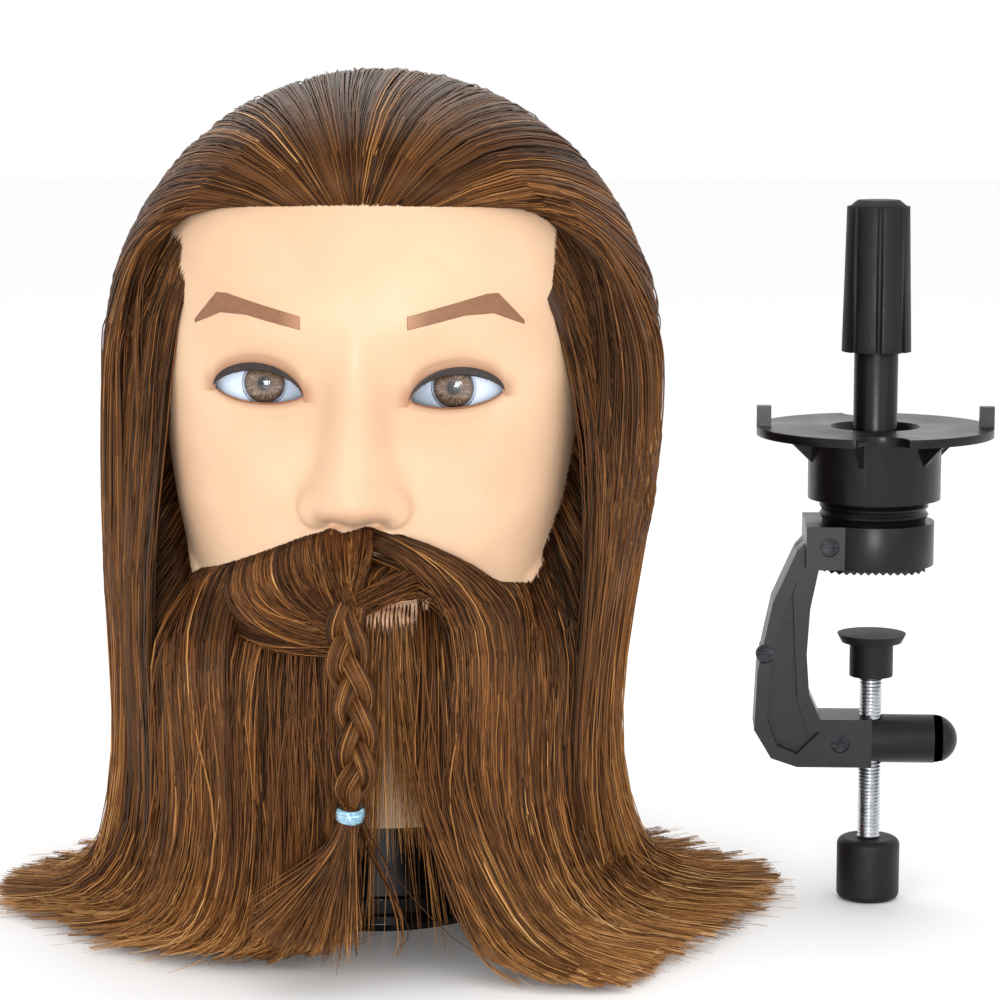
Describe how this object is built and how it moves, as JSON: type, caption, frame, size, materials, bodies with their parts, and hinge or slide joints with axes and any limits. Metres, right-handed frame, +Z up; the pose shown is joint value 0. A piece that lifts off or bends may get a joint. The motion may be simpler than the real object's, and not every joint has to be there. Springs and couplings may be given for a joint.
{
  "type": "mannequin training head",
  "caption": "Hairdressing mannequin head with long implanted hair, beard and braid, on a hollow neck base, with a separate table clamp stand whose post fits the neck.",
  "frame": {"origin": "centre of the neck base's rim, on the table", "axes": "+Z up along the neck socket, the face looks along -Y, +X is the wearer's left"},
  "size_m": [0.3367, 0.2472, 0.2905],
  "materials": {
    "base_plastic": "gloss black moulding",
    "socket_plastic": "natural moulding",
    "screw_steel": "zinc-plated thread",
    "skin_vinyl": "soft satin vinyl, painted features",
    "foam": "rigid foam",
    "eye_white": "polished",
    "iris": "printed",
    "cornea": "clear",
    "hair": "silky fibre",
    "band": "shiny elastic",
    "clamp_plastic": "fine-grained black moulding",
    "grip_rubber": "matt black",
    "bolt_black": "blackened"
  },
  "bodies": {
    "head": {"neck_base": "base_plastic", "socket_tube": "socket_plastic", "base_screws": "screw_steel", "head_skin": "skin_vinyl", "foam_core": "foam", "right_eye": "eye_white", "left_eye": "eye_white", "right_iris": "iris", "left_iris": "iris", "right_cornea": "cornea", "left_cornea": "cornea", "crown_hair": "hair", "left_side_hair": "hair", "right_side_hair": "hair", "back_hair": "hair", "left_beard": "hair", "right_beard": "hair", "left_moustache": "hair", "right_moustache": "hair", "left_hair_fan": "hair", "right_hair_fan": "hair", "back_hair_fan": "hair", "braid_strand_1": "hair", "braid_strand_2": "hair", "braid_strand_3": "hair", "braid_tail": "hair", "braid_band": "band"},
    "clamp_frame": {"clamp_frame_front": "clamp_plastic", "clamp_frame_rear": "clamp_plastic", "frame_bolts": "bolt_black", "jaw_pad": "grip_rubber", "threaded_stub": "clamp_plastic", "hex_nut": "screw_steel"},
    "pressure_pad": {"pressure_pad": "clamp_plastic"},
    "screw": {"clamp_screw": "screw_steel", "clamp_knob": "clamp_plastic"},
    "lock_nut": {"lock_nut": "clamp_plastic"},
    "post": {"ball_post": "clamp_plastic"},
    "sleeve": {"post_sleeve": "grip_rubber", "sleeve_plug": "clamp_plastic"}
  },
  "joints": [
    {"name": "clamp_lift", "type": "slide", "parent": "head", "child": "clamp_frame", "axis": [0, 0, 1], "range_m": [0, 0.12]},
    {"name": "pad_travel", "type": "slide", "parent": "clamp_frame", "child": "pressure_pad", "axis": [0, 0, 1], "range_m": [0, 0.0219]},
    {"name": "screw_turn", "type": "hinge", "parent": "pressure_pad", "child": "screw", "pos_m": [0.172, 0.012, 0.049], "axis": [0, 0, 1], "range_deg": [0, 6330]},
    {"name": "lock_nut_turn", "type": "hinge", "parent": "clamp_frame", "child": "lock_nut", "pos_m": [0.172, 0.012, 0.154], "axis": [0, 0, 1], "range_deg": [-90, 90]},
    {"name": "post_tilt", "type": "hinge", "parent": "clamp_frame", "child": "post", "pos_m": [0.172, 0.012, 0.154], "axis": [0, 1, 0], "range_deg": [-25, 25]},
    {"name": "sleeve_turn", "type": "hinge", "parent": "post", "child": "sleeve", "pos_m": [0.172, 0.012, 0.199], "axis": [0, 0, 1], "continuous": true}
  ],
  "couplings": [
    {"joint": "screw_turn", "follows": "pad_travel", "rad_per_m": 5026.5}
  ]
}
